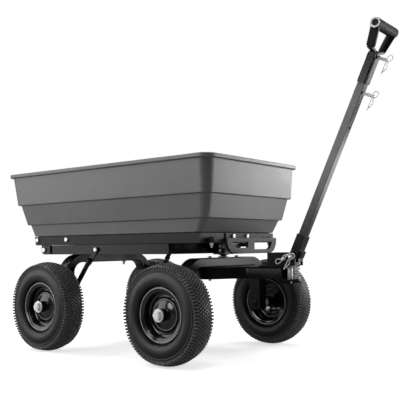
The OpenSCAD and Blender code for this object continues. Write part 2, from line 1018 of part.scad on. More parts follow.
module drawbar_bolts() {
  nut_low = bar_top - cheek_t - head_h;
  color([0.7, 0.71, 0.72])
    at_origin()
      both_sides()
        translate([kingpin_x, drawbar_bolt_y, 0]) {
          along_z(bolt_r, bar_low - bolt_poke, front_arch_z + eps);
          for (z = [nut_low, front_arch_z])
            translate([0, 0, z])
              cylinder(r = head_r, h = head_h, $fn = 6);
        }
}

// Upright cheeks on the drawbar's neck that the handle turns between
module hitch_bracket() {
  cheek_out = cheek_half + cheek_t;
  nose_r = cheek_top - pivot_z;
  color([0.05, 0.05, 0.055])
    at_origin()
      difference() {
        union() {
          block(cheek_rear - cheek_foot, plate_front, -cheek_out, cheek_out, bar_top, base_z);
          both_sides() {
            block(cheek_rear, pivot_x, cheek_half, cheek_out, base_z, cheek_top);
            block(pivot_x - eps, pivot_x + nose_r, cheek_half, cheek_out, base_z, pivot_z);
            translate([pivot_x, 0, pivot_z])
              along_y(nose_r, cheek_half, cheek_out);
          }
        }
        for (p = hitch_pin_at)
          translate([p[0], 0, p[1]])
            along_y(pin_d / 2, -cheek_out - 1, cheek_out + 1);
        translate([hitch_bolt_x, 0, 0])
          along_z(bolt_r, bar_top - 1, base_z + 1);
      }
}

// Folded plate under the neck that seats the support spring
module hitch_lip() {
  half = bar_narrow;
  color([0.1, 0.1, 0.105])
    at_origin()
      difference() {
        union() {
          translate([0, 0, lip_low])
            linear_extrude(cheek_t)
              polygon([[lip_rear, -half], [lip_wide, -half], [lip_front, -lip_nose],
                [lip_front, lip_nose], [lip_wide, half], [lip_rear, half]]);
          both_sides()
            block(lip_rear, lip_wide, half - cheek_t, half, lip_low - lip_fold, bar_low);
        }
        translate([hitch_bolt_x, 0, 0])
          along_z(bolt_r, lip_low - 1, bar_low + 1);
      }
}

// Upright bolt with its spacer and nuts between the bracket and the lip
module hitch_bolt() {
  color([0.75, 0.76, 0.77])
    at_origin()
      translate([hitch_bolt_x, 0, 0]) {
        along_z(bolt_r, lip_low - head_h - tip_l, base_z + eps);
        along_z(spacer_r, bar_low, bar_top);
        translate([0, 0, lip_low - head_h])
          cylinder(r = head_r, h = head_h, $fn = 6);
        translate([0, 0, base_z])
          cylinder(r = head_r, h = head_h, $fn = 6);
      }
}

module hitch_pins() {
  cheek_out = cheek_half + cheek_t;
  color([0.8, 0.81, 0.82])
    at_origin()
      for (i = [0, 1])
        translate([hitch_pin_at[i][0], 0, hitch_pin_at[i][1]])
          difference() {
            union() {
              along_y(pin_d / 2, -cheek_out - pin_tip, cheek_out + eps);
              along_y(pin_d / 2 + pin_rim, cheek_out, cheek_out + pin_head);
            }
            translate([0, -cheek_out - hitch_clip_out[i], 0])
              rotate([0, hitch_clip_turn[i], 0])
                along_z(clip_wire / 2, -pin_d, pin_d);
          }
}

// Spring clip: a straight leg down -Z, a bow at the top and a bent leg beside it
module spring_clip() {
  r = clip_wire / 2;
  bow = clip_bow;
  bend = 62;
  along_z(r, -clip_leg, bow);
  translate([bow, 0, bow])
    rotate([90, 0, 0])
      rotate_extrude(angle = 180)
        translate([bow, 0])
          circle(r = r, $fn = 16);
  translate([2 * bow, 0, 0])
    along_z(r, -bow / 2, bow);
  translate([bow, 0, -bow / 2])
    rotate([90, 0, 0])
      rotate_extrude(angle = -bend)
        translate([bow, 0])
          circle(r = r, $fn = 16);
  translate([bow + bow * cos(bend), 0, -bow / 2 - bow * sin(bend)])
    sphere(r = r, $fn = 16);
  translate([bow + bow * cos(bend), 0, -bow / 2 - bow * sin(bend)])
    rotate([0, -8, 0])
      along_z(r, bow - clip_leg, 0);
}

module hitch_clips() {
  cheek_out = cheek_half + cheek_t;
  color([0.82, 0.83, 0.84])
    at_origin()
      for (i = [0, 1])
        translate([hitch_pin_at[i][0], -cheek_out - hitch_clip_out[i], hitch_pin_at[i][1]])
          rotate([0, hitch_clip_turn[i], 0])
            translate([0, 0, hitch_clip_slide[i]])
              spring_clip();
}

// Support spring: one wire wound by formula, straight at both ends

coil_r = (coil_d - coil_wire) / 2;
coil_steps = 8;
coil_slack = 0.3;
coil_sides = 6;
coil_low = bar_low;
coil_high = coil_top - coil_slack;
coil_rise = coil_high - coil_low - 2 * coil_wire;
coil_n = coil_turns * coil_steps;

function coil_point(i) =
  let (a = 360 * i / coil_steps)
  [coil_x + coil_r * cos(a), coil_r * sin(a), coil_low + coil_wire + coil_rise * i / coil_n];

coil_path = concat(
  [[coil_x + coil_r, 0, coil_low]],
  [for (i = [0 : coil_n]) coil_point(i)],
  [[coil_x + coil_r, 0, coil_high]]
);

// Ring of the wire about a path point, kept level at the ends
function wire_ring(path, i) =
  let (
    last = len(path) - 1,
    ahead = i == 0 || i == last ? [0, 0, 1] : path[i + 1] - path[i - 1],
    t = ahead / norm(ahead),
    out = [path[i][0] - coil_x, path[i][1], 0] / coil_r,
    u = (out - t * (out * t)) / norm(out - t * (out * t)),
    v = cross(t, u)
  )
  [for (k = [0 : coil_sides - 1])
    let (a = 360 * k / coil_sides)
    path[i] + coil_wire / 2 * (u * cos(a) + v * sin(a))];

coil_gap = min([for (i = [0 : coil_n]) for (j = [i + coil_steps / 2 : coil_n])
  norm(coil_path[i] - coil_path[j])]) - coil_wire;
echo(least_gap_between_spring_turns = coil_gap);

module support_spring() {
  color([0.78, 0.79, 0.8])
    at_origin()
      loft([for (i = [0 : len(coil_path) - 1]) wire_ring(coil_path, i)]);
}

// Handle, built upright in its own frame and leant forward about the pivot

module on_handle() {
  translate([pivot_x, 0, pivot_z])
    rotate([0, handle_lean, 0])
      children();
}

module handle_base() {
  color([0.13, 0.13, 0.135])
    at_origin()
      difference() {
        union() {
          on_handle() {
            block(-base_w / 2, base_w / 2, -base_half, base_half, 0, base_l);
            along_y(base_w / 2, -base_half, base_half);
            along_y(boss_r, -boss_half, boss_half);
            block(boss_r / 2, tab_reach, -tab_half, tab_half, tab_at[0], tab_at[1]);
          }
          // Pad that bears on the support spring
          block(pivot_x + pad_at[0], pivot_x + pad_at[1], -pad_half, pad_half, coil_top, pivot_z);
        }
        on_handle() {
          block(-tube_w / 2, tube_w / 2, -tube_w / 2, tube_w / 2, base_seat, base_l + 1);
          along_y(pin_d / 2 + run_fit, -boss_half - 1, boss_half + 1);
        }
      }
}

module handle_tube() {
  bore = tube_w - 2 * tube_t;
  color([0.15, 0.15, 0.155])
    at_origin()
      on_handle()
        difference() {
          block(-tube_w / 2, tube_w / 2, -tube_w / 2, tube_w / 2, base_seat, handle_l - clevis_gap);
          block(-bore / 2, bore / 2, -bore / 2, bore / 2, base_seat - 1, handle_l);
          translate([0, 0, pin_at[1]])
            along_x(pin_d / 2, -tube_w, tube_w);
          // Spare pin hole in the front face
          translate([0, 0, spare_at])
            along_x(spare_d / 2, 0, tube_w);
        }
}

// Front and rear plates that take a tractor's hitch plate between them
module tow_clevis() {
  color([0.2, 0.2, 0.205])
    at_origin()
      on_handle()
        difference() {
          for (side = [-1, 1])
            translate([side * (tube_w + clevis_t) / 2, 0, 0]) {
              block(-clevis_t / 2, clevis_t / 2, -tube_w / 2, tube_w / 2,
                handle_l - clevis_l, handle_l - tube_w / 2);
              translate([0, 0, handle_l - tube_w / 2])
                along_x(tube_w / 2, -clevis_t / 2, clevis_t / 2);
            }
          translate([0, 0, pin_at[0]])
            along_x(pin_d / 2, -tube_w, tube_w);
        }
}

// Back face that each tow pin's head bears on
pin_back = [tube_w / 2 + clevis_t, tube_w / 2];

module tow_pins() {
  color([0.82, 0.83, 0.84])
    at_origin()
      on_handle()
        for (i = [0, 1])
          translate([0, 0, pin_at[i]])
            difference() {
              union() {
                along_x(pin_d / 2, -pin_back[i] - pin_head, pin_reach);
                along_x(pin_d / 2 + pin_rim, -pin_back[i] - pin_head, -pin_back[i]);
              }
              translate([pin_reach - pin_tip / 2, 0, 0])
                along_z(clip_wire / 2, -pin_d, pin_d);
            }
}

module tow_clips() {
  color([0.82, 0.83, 0.84])
    at_origin()
      on_handle()
        for (i = [0, 1])
          translate([pin_reach - pin_tip / 2, 0, pin_at[i]])
            spring_clip();
}

// Grip: two straps from the tube's sides carry a padded loop

grip_z = handle_l + grip_rise;
foot_z = handle_l + 8;
strap_t = 3.5;
strap_l = 70;
arm_top = [grip_half - arm_t / 2, grip_z];
arm_low = [grip_foot, foot_z];
arm_along = (arm_top - arm_low) / norm(arm_top - arm_low);
arm_out = [arm_along[1], -arm_along[0]];
arm_edge_in = arm_low - arm_out * arm_t / 2;
arm_edge_out = arm_low + arm_out * arm_t / 2;

// Extrudes an outline drawn as Y and height across the handle's front
module across_handle(width) {
  translate([-width / 2, 0, 0])
    rotate([90, 0, 90])
      linear_extrude(width)
        children();
}

module grip_frame() {
  side = tube_w / 2;
  color([0.08, 0.08, 0.085])
    at_origin()
      on_handle()
        both_sides()
          across_handle(tube_w - 6)
            polygon([
              [side, handle_l - clevis_gap - strap_l], [side + strap_t, handle_l - clevis_gap - strap_l],
              [side + strap_t, handle_l - strap_t], arm_edge_out - arm_along * strap_t,
              arm_edge_out, arm_edge_in, [side, handle_l + strap_t]
            ]);
}

module grip_pad() {
  color([0.05, 0.05, 0.05])
    at_origin()
      on_handle()
        difference() {
          union() {
            both_sides()
              across_handle(arm_w)
                polygon([
                  arm_edge_in, arm_edge_out,
                  arm_top + arm_out * arm_t / 2, arm_top - arm_out * arm_t / 2
                ]);
            translate([0, 0, grip_z])
              along_y(grip_d / 2, -grip_half, grip_half);
          }
          translate([0, 0, grip_z])
            along_y(bolt_r, -grip_half - 1, grip_half + 1);
        }
}

module grip_bolt() {
  color([0.2, 0.2, 0.2])
    at_origin()
      on_handle()
        translate([0, 0, grip_z]) {
          along_y(bolt_r, -grip_half - eps, grip_half + eps);
          both_sides()
            along_y(head_r + 2, grip_half, grip_half + 3);
        }
}

// Wheels: revolved about the spindle, outer side up

tyre_r = tyre_d / 2;
tread_half = tyre_w / 2 - 6;
crown_r = 84;
wall_in = rim_w / 2 - rim_t;
groove_y = 15;
shoulder_lean = 24;

module tyre_section() {
  difference() {
    union() {
      translate([tyre_r - tyre_w / 2, 0])
        circle(r = tyre_w / 2);
      intersection() {
        translate([tyre_r - tyre_w / 2, -tread_half])
          square([tyre_w / 2, 2 * tread_half]);
        translate([tyre_r - crown_r, 0])
          circle(r = crown_r, $fn = 96);
      }
      translate([bead_r, -wall_in])
        square([flange_r - bead_r + 12, 2 * wall_in]);
    }
    translate([bead_r - tyre_r, -tyre_w])
      square([tyre_r, 2 * tyre_w]);
    for (side = [-1, 1])
      translate([bead_r - 1, side > 0 ? wall_in : -wall_in - tyre_w])
        square([flange_r - bead_r + 2.5, tyre_w]);
    for (side = [-1, 1])
      translate([tyre_r - tread_depth, side * groove_y - tread_gap / 2])
        square([2 * tread_depth, tread_gap]);
  }
}

module tyre_solid() {
  step = 360 / tread_count;
  floor_r = tyre_r - tread_depth + 0.6;
  difference() {
    rotate_extrude($fn = 96)
      tyre_section();
    for (i = [0 : tread_count - 1])
      rotate([0, 0, (i + 0.5) * step - 90]) {
        // Slot across the middle row, and one over each shoulder
        translate([floor_r, -tread_gap / 2, -groove_y])
          cube([2 * tread_depth, tread_gap, 2 * groove_y]);
        for (side = [-1, 1])
          translate([floor_r, 0, side * groove_y])
            rotate([0, -side * shoulder_lean, 0])
              translate([0, -tread_gap / 2, side > 0 ? 0 : -tyre_w / 2])
                cube([3 * tread_depth, tread_gap, tyre_w / 2]);
      }
  }
}

// Pressed disc, domed towards the hub
module disc_section() {
  disc = rim_w / 2 - disc_depth;
  ring = 55;
  dome = 7;
  face = [[hub_r - 1, disc + dome + 5], [ring - dome, disc + dome], [ring, disc], [bead_r - 1, disc]];
  polygon(concat(face, [for (i = [3 : -1 : 0]) face[i] - [0, rim_t]]));
}

// Bead seat and rolled flanges
module rim_section() {
  translate([bead_r - rim_t, -rim_w / 2])
    square([rim_t, rim_w]);
  for (side = [-1, 1]) {
    translate([bead_r - rim_t, side > 0 ? wall_in : -rim_w / 2])
      square([flange_r - bead_r, rim_t]);
    translate([flange_r - rim_t, side * rim_w / 2])
      circle(r = rim_t);
  }
}

module wheel_solid() {
  rotate_extrude()
    translate([bearing_d / 2, -hub_in])
      square([hub_r - bearing_d / 2, hub_in + hub_out]);
  rotate_extrude()
    disc_section();
  rotate_extrude()
    rim_section();
}

// Stands a wheel part on its spindle, outer side away from the cart
module on_spindle(x, side) {
  translate([x, side * wheel_y, axle_z])
    mirror([0, side > 0 ? 0 : 1, 0])
      rotate([-90, 0, 0])
        children();
}

module tyre(x, side) {
  color([0.09, 0.09, 0.092])
    at_origin()
      on_spindle(x, side)
        tyre_solid();
}

module wheel(x, side) {
  color([0.07, 0.07, 0.075])
    at_origin()
      on_spindle(x, side)
        wheel_solid();
}

module bearings(x, side) {
  color([0.7, 0.71, 0.72])
    at_origin()
      on_spindle(x, side)
        for (end = [[hub_out, 1], [-hub_in, -1]])
          translate([0, 0, end[0]])
            rotate_extrude()
              translate([spindle_d / 2 + run_fit, 0]) {
                translate([0, end[1] > 0 ? -bearing_l : 0])
                  square([(bearing_d - spindle_d) / 2 - run_fit, bearing_l]);
                translate([0, end[1] > 0 ? 0 : -bearing_flange])
                  square([hub_r - spindle_d / 2 - run_fit, bearing_flange]);
              }
}

tub();
bed_rail_left();
bed_rail_right();
bed_front_angle();
bed_rear_angle();
hinge_ears();
hinge_bolts();
bed_bolts();
bumpers();
bumper_bolts();
latch_bracket();
latch_bolts();
dump_lever();
lever_rod();
chassis_rail_left();
chassis_rail_right();
chassis_rear_member();
chassis_front_member();
kingpin_bracket();
bracket_bolts();
king_bolt();
king_nut();
latch_striker();
rear_arch();
rear_spindles();
rear_struts();
strut_bolts();
rear_arch_bolts();
rear_nuts();
front_arch();
front_spindles();
front_nuts();
drawbar();
drawbar_bolts();
hitch_bracket();
hitch_lip();
hitch_bolt();
hitch_pins();
hitch_clips();
support_spring();
handle_base();
handle_tube();
tow_clevis();
tow_pins();
tow_clips();
grip_frame();
grip_pad();
grip_bolt();
tyre(0, 1);  // tyre_rear_left
tyre(0, -1);  // tyre_rear_right
tyre(kingpin_x, 1);  // tyre_front_left
tyre(kingpin_x, -1);  // tyre_front_right
wheel(0, 1);  // wheel_rear_left
wheel(0, -1);  // wheel_rear_right
wheel(kingpin_x, 1);  // wheel_front_left
wheel(kingpin_x, -1);  // wheel_front_right
bearings(0, 1);  // bearings_rear_left
bearings(0, -1);  // bearings_rear_right
bearings(kingpin_x, 1);  // bearings_front_left
bearings(kingpin_x, -1);  // bearings_front_right
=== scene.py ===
import bpy
import bmesh
import json
from math import asin, atan2, cos, pi, radians, sin
from mathutils import Matrix, Vector


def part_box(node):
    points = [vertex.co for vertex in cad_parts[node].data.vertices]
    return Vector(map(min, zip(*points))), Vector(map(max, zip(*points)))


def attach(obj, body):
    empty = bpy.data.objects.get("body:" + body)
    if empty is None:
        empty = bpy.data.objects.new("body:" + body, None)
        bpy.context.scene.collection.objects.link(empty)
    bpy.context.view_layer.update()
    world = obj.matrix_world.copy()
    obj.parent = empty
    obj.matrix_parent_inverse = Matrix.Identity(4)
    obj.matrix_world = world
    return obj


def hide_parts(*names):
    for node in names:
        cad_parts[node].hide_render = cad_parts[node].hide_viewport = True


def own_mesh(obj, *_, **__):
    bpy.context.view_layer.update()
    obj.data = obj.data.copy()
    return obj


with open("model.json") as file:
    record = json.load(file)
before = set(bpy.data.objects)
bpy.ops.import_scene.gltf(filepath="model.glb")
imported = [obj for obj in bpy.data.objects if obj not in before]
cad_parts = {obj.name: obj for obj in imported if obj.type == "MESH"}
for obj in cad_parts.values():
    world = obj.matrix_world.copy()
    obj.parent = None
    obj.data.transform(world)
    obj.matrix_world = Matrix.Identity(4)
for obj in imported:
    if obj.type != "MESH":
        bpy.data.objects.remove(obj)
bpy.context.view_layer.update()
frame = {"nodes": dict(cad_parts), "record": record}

nodes = frame["nodes"]
slotOf = {part["node"]: part["material_slot"] for part in frame["record"]["subparts"]}
mm = 0.001
shift = 482.27728  # the source counts X from the rear axle, the frame from the cart's middle
print("frame loaded:", len(nodes), "nodes")


def spot(x, y, z):
    return Vector(((x - shift) * mm, y * mm, z * mm))


class Shade:
    # a socket of a shader tree: Python operators add Math nodes, node() adds any other
    def __init__(self, tree, socket=None):
        self.tree, self.socket = tree, socket

    def node(self, kind, settings=None, sockets=None, out=0):
        made = self.tree.nodes.new("ShaderNode" + kind)
        for key, value in (settings or {}).items():
            setattr(made, key, value)
        for key, value in (sockets or {}).items():
            if isinstance(value, Shade):
                self.tree.links.new(value.socket, made.inputs[key])
            else:
                made.inputs[key].default_value = value
        return Shade(self.tree, made.outputs[out])

    def maths(self, operation, first, second):
        return self.node("Math", {"operation": operation}, {0: first, 1: second})

    def __add__(self, other):
        return self.maths("ADD", self, other)

    def __sub__(self, other):
        return self.maths("SUBTRACT", self, other)

    def __rsub__(self, other):
        return self.maths("SUBTRACT", other, self)

    def __mul__(self, other):
        return self.maths("MULTIPLY", self, other)

    __radd__ = __add__
    __rmul__ = __mul__


def blendColours(s, mask, first, second):
    # each end is a colour, or a socket that carries one
    start, end = [c if isinstance(c, Shade) else (*c, 1) for c in (first, second)]
    return s.node("Mix", {"data_type": "RGBA"}, {0: mask, 6: start, 7: end}, 2)


def speckle(s, size, detail, stretch=(1, 1, 1), low=0.35, high=0.65):
    # noise with features of about that many metres, spread to 0..1
    where = s.node("TexCoord", out="Object")
    where = s.node("Mapping", sockets={"Vector": where, "Scale": stretch})
    noise = s.node("TexNoise", sockets={"Vector": where, "Scale": 1 / size, "Detail": detail})
    return s.node("MapRange", sockets={"Value": noise, "From Min": low, "From Max": high})


def bump(s, height, distance):
    return s.node("Bump", sockets={"Height": height, "Distance": distance, "Strength": 1.0})


def finish(name, make, look, fixed):
    material = bpy.data.materials.new(name)
    material.use_nodes = True
    tree = material.node_tree
    shader = tree.nodes["Principled BSDF"]
    for key, value in fixed.items():
        shader.inputs[key].default_value = value
    for key, value in make(Shade(tree), look).items():
        tree.links.new(value.socket, shader.inputs[key])
    return material


# in every look, a speckle is size, detail, and where it needs them stretch, low and high
tubLook = {
    "grey": (0.122, 0.122, 0.125), "pale": (0.152, 0.152, 0.155), "scuffed": (0.20, 0.20, 0.205),
    "cloud": (0.16, 4), "streak": (0.05, 5, (0.25, 0.25, 6), 0.56, 0.80),
    "fine": (0.012, 4), "grain": (0.0011, 2), "fineGrain": 0.4, "depth": 0.00010,
    "cloudPale": 0.6, "finePale": 0.2, "streakScuff": 0.14,
    "rough": 0.34, "cloudRough": 0.06, "streakSmooth": 0.04}


def tubPlastic(s, look):
    cloud, streak, fine, grain = (speckle(s, *look[k]) for k in ("cloud", "streak", "fine", "grain"))
    paleness = cloud * look["cloudPale"] + fine * look["finePale"]
    colour = blendColours(s, paleness, look["grey"], look["pale"])
    colour = blendColours(s, streak * look["streakScuff"], colour, look["scuffed"])
    return {"Base Color": colour,
            "Roughness": look["rough"] + cloud * look["cloudRough"] - streak * look["streakSmooth"],
            "Normal": bump(s, grain + fine * look["fineGrain"], look["depth"])}


paintLook = {
    "black": (0.003, 0.003, 0.0033), "dusty": (0.010, 0.010, 0.0104),
    "cloud": (0.09, 5), "rub": (0.02, 6, (1, 1, 1), 0.62, 0.80), "peel": (0.0016, 2), "depth": 0.00002,
    "cloudDust": 0.55, "rubDust": 0.45, "rough": 0.20, "cloudRough": 0.05, "rubRough": 0.03}
bedLook = {
    "black": (0.010, 0.010, 0.0104), "dusty": (0.022, 0.022, 0.0225),
    "cloud": (0.07, 5), "rub": (0.015, 6, (1, 1, 1), 0.56, 0.76), "peel": (0.0014, 2), "depth": 0.00003,
    "cloudDust": 0.6, "rubDust": 0.4, "rough": 0.40, "cloudRough": 0.10, "rubRough": 0.10}


def sprayedPaint(s, look):
    cloud, rub, peel = (speckle(s, *look[k]) for k in ("cloud", "rub", "peel"))
    dust = cloud * look["cloudDust"] + rub * look["rubDust"]
    return {"Base Color": blendColours(s, dust, look["black"], look["dusty"]),
            "Roughness": look["rough"] + cloud * look["cloudRough"] + rub * look["rubRough"],
            "Normal": bump(s, peel, look["depth"])}


# the pale grey on the rims' rolled lips and disc ridge is a painted highlight ring
enamelLook = {
    "black": (0.003, 0.003, 0.0034), "dusty": (0.008, 0.008, 0.008), "paintedHighlight": (0.62, 0.62, 0.63),
    "cloud": (0.05, 4), "peel": (0.004, 2), "depth": 0.00003,
    "highlightStrength": 0.6, "cloudHighlight": 0.4, "rough": 0.07, "cloudRough": 0.06, "highlightRough": 0.15}


def wheelEnamel(s, look):
    cloud, peel = (speckle(s, *look[k]) for k in ("cloud", "peel"))
    paintedHighlight = s.node("Attribute", {"attribute_name": "wearAndSheen"}, out="Fac")
    colour = blendColours(s, cloud, look["black"], look["dusty"])
    # painted highlight: the pale grey is mixed in on the lips and the ridge
    colour = blendColours(s, paintedHighlight * (look["highlightStrength"] + cloud * look["cloudHighlight"]), colour, look["paintedHighlight"])
    return {"Base Color": colour,
            "Roughness": look["rough"] + cloud * look["cloudRough"] + paintedHighlight * look["highlightRough"],
            "Normal": bump(s, peel, look["depth"])}


# the pale tread grey is partly scrubbed wear and partly a painted sheen for the blocks' highlights
rubberLook = {
    "black": (0.004, 0.004, 0.0042), "dusty": (0.011, 0.0108, 0.0106), "wearAndSheen": (0.22, 0.218, 0.215),
    "cloud": (0.045, 5), "dust": (0.006, 4, (1, 1, 1), 0.45, 0.75), "skin": (0.0009, 2),
    "dustHeight": 0.5, "depth": 0.00012, "cloudPale": 0.5, "dustPale": 0.4, "treadWearAndSheen": 0.45, "dustWearAndSheen": 0.4,
    "rough": 0.33, "cloudRough": 0.07, "dustRough": 0.08, "scrubSmooth": 0.10}


def tyreRubber(s, look):
    cloud, dust, skin = (speckle(s, *look[k]) for k in ("cloud", "dust", "skin"))
    wearAndSheen = s.node("Attribute", {"attribute_name": "wearAndSheen"}, out="Fac")
    paleness = cloud * look["cloudPale"] + dust * look["dustPale"]
    colour = blendColours(s, paleness, look["black"], look["dusty"])
    # partly scrubbed wear, partly painted sheen: the tread blocks are mixed towards pale grey
    treadWearAndSheen = wearAndSheen * (look["treadWearAndSheen"] + dust * look["dustWearAndSheen"])
    rough = look["rough"] + cloud * look["cloudRough"] + dust * look["dustRough"]
    return {"Base Color": blendColours(s, treadWearAndSheen, colour, look["wearAndSheen"]),
            "Roughness": rough - wearAndSheen * look["scrubSmooth"],
            "Normal": bump(s, skin + dust * look["dustHeight"], look["depth"])}


zincLook = {
    "bright": (0.95, 0.955, 0.965), "dull": (0.74, 0.75, 0.77), "spangles": 420,
    "cloud": (0.012, 5), "grain": (0.0008, 2), "depth": 0.00005,
    "cloudDull": 0.7, "spangleDull": 0.5, "rough": 0.26, "cloudRough": 0.14}


def zincPlate(s, look):
    where = s.node("TexCoord", out="Object")
    spangle = s.node("TexVoronoi", sockets={"Vector": where, "Scale": look["spangles"]}, out="Distance")
    cloud, grain = (speckle(s, *look[k]) for k in ("cloud", "grain"))
    dullness = cloud * look["cloudDull"] + spangle * look["spangleDull"]
    return {"Base Color": blendColours(s, dullness, look["bright"], look["dull"]),
            "Roughness": look["rough"] + cloud * look["cloudRough"],
            "Normal": bump(s, grain, look["depth"])}


steelLook = {"bright": (0.50, 0.50, 0.52), "dull": (0.34, 0.34, 0.36), "turned": (0.002, 3, (1, 8, 1)),
             "depth": 0.00004, "rough": 0.28, "turnedRough": 0.12}


def bearingSteel(s, look):
    turned = speckle(s, *look["turned"])
    return {"Base Color": blendColours(s, turned, look["bright"], look["dull"]),
            "Roughness": look["rough"] + turned * look["turnedRough"],
            "Normal": bump(s, turned, look["depth"])}


# four finishes that differ only in their values: clouded colour over a fine skin
wireLook = {"clear": (0.86, 0.87, 0.89), "clouded": (0.64, 0.65, 0.67), "cloud": (0.006, 4),
            "skin": (0.0006, 2), "depth": 0.00004, "rough": 0.24, "cloudRough": 0.12}
gripLook = {"clear": (0.005, 0.005, 0.0052), "clouded": (0.012, 0.012, 0.012), "cloud": (0.03, 4),
            "skin": (0.0010, 2), "depth": 0.00012, "rough": 0.50, "cloudRough": 0.10}
bumperLook = {"clear": (0.014, 0.014, 0.014), "clouded": (0.030, 0.030, 0.030), "cloud": (0.010, 4),
              "skin": (0.0012, 2), "depth": 0.00012, "rough": 0.55, "cloudRough": 0.12}
leverLook = {"clear": (0.005, 0.005, 0.0053), "clouded": (0.012, 0.012, 0.0124), "cloud": (0.03, 4),
             "skin": (0.0013, 2), "depth": 0.00002, "rough": 0.24, "cloudRough": 0.08}


def cloudedSkin(s, look):
    cloud, skin = (speckle(s, *look[k]) for k in ("cloud", "skin"))
    return {"Base Color": blendColours(s, cloud, look["clear"], look["clouded"]),
            "Roughness": look["rough"] + cloud * look["cloudRough"],
            "Normal": bump(s, skin, look["depth"])}


finishes = {
    "tub_plastic": finish("tubPlastic", tubPlastic, tubLook, {"Specular IOR Level": 0.55}),
    "frame_paint": finish("framePaint", sprayedPaint, paintLook, {"Specular IOR Level": 0.18}),
    "bed_paint": finish("bedPaint", sprayedPaint, bedLook, {"Specular IOR Level": 0.20}),
    "wheel_gloss_black": finish("wheelEnamel", wheelEnamel, enamelLook, {"Specular IOR Level": 0.50}),
    "tyre_rubber": finish("tyreRubber", tyreRubber, rubberLook, {"Specular IOR Level": 0.40}),
    "zinc": finish("zincPlate", zincPlate, zincLook, {"Metallic": 0.30}),
    "spring_steel": finish("springWire", cloudedSkin, wireLook, {"Metallic": 0.5}),
    "bearing_steel": finish("bearingSteel", bearingSteel, steelLook, {"Metallic": 1.0}),
    "grip_rubber": finish("gripRubber", cloudedSkin, gripLook, {"Specular IOR Level": 0.14}),
    "bumper_rubber": finish("bumperRubber", cloudedSkin, bumperLook, {"Specular IOR Level": 0.30}),
    "black_plastic": finish("leverPlastic", cloudedSkin, leverLook, {"Specular IOR Level": 0.18}),
}
# the handle's tube has a glossier coat than the frame
handlePaint = finish("handlePaint", sprayedPaint, paintLook, {"Specular IOR Level": 0.36})
print("finishes:", len(finishes) + 1)


def piece(name, bm, slotName, body, replaced=(), sharp=40):
    mesh = bpy.data.meshes.new(name)
    bm.to_mesh(mesh)
    bm.free()
    mesh.materials.append(finishes[slotName])
    mesh.polygons.foreach_set("use_smooth", [True] * len(mesh.polygons))
    mesh.set_sharp_from_angle(angle=radians(sharp))
    made = bpy.data.objects.new(name, mesh)
    bpy.context.scene.collection.objects.link(made)
    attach(made, body)
    if replaced:
        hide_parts(*replaced)
    return made


def roundEdges(made, width, segments, angle):
    rounding = made.modifiers.new("roundEdges", "BEVEL")
    rounding.limit_method = "ANGLE"
    rounding.angle_limit = radians(angle)
    rounding.width = width
    rounding.segments = segments
    rounding.harden_normals = True


def lathe(bm, outline, steps):
    # closed outline of radius and height, spun round Z
    dots = [bm.verts.new((radius, 0, height)) for radius, height in outline]
    wires = [bm.edges.new(pair) for pair in zip(dots, dots[1:] + dots[:1])]
    bmesh.ops.spin(bm, geom=dots + wires, angle=2 * pi, steps=steps, axis=(0, 0, 1), cent=(0, 0, 0),
                   use_merge=True)


def bothHalves(outline):
    # the outline of one half and its mirror image, joined at the middle
    return list(outline) + [(radius, -height) for radius, height in outline[-2:0:-1]]


def tidyMesh(bm):
    bmesh.ops.remove_doubles(bm, verts=bm.verts, dist=1e-6)
    bmesh.ops.recalc_face_normals(bm, faces=bm.faces)


# tub: one rounded ring pulled up through the tiers, over the rim and down the inside
tubShape = {"tiers": (127, 80, 46), "rear": (25, 27, 21, 8), "front": (8, 20, 26, 5), "side": (9, 16, 7, 2),
            "ledge": 9, "wall": 4, "lip": 10, "lipHeight": 14, "round": 2.6, "roundSteps": 3, "roundFrom": 32,
            "corner": 44, "cornerTaper": 0.09, "cornerLeast": 10, "arcSteps": 14}


def tubLevels():
    low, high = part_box("tub")
    rim, floor = high.z / mm, low.z / mm
    feet = [rim - sum(tubShape["tiers"][:i + 1]) for i in range(len(tubShape["tiers"]))] + [floor]

    def inset(i, foot, grow):
        def wall(side):
            return tubShape["lip"] + sum(tubShape[side][:i + foot]) + tubShape["ledge"] * i + grow
        return wall("rear"), wall("front"), wall("side")

    def radius(z):
        return max(tubShape["corner"] - tubShape["cornerTaper"] * (rim - z), tubShape["cornerLeast"])

    levels = []
    for i in (3, 2, 1, 0):
        top = rim - tubShape["lipHeight"] if i == 0 else feet[i - 1]
        levels.append((inset(i, 1, 0), feet[i], radius(feet[i])))
        levels.append((inset(i, 0, 0), top, radius(top)))
    levels.append(((0, 0, 0), rim - tubShape["lipHeight"], tubShape["corner"]))
    levels.append(((0, 0, 0), rim, tubShape["corner"]))
    wall = tubShape["wall"]
    for i in (0, 1, 2, 3):
        top = rim if i == 0 else feet[i - 1] + wall
        levels.append((inset(i, 0, wall), top, radius(top) - wall))
        levels.append((inset(i, 1, wall), feet[i] + wall, radius(feet[i]) - wall))
    return levels


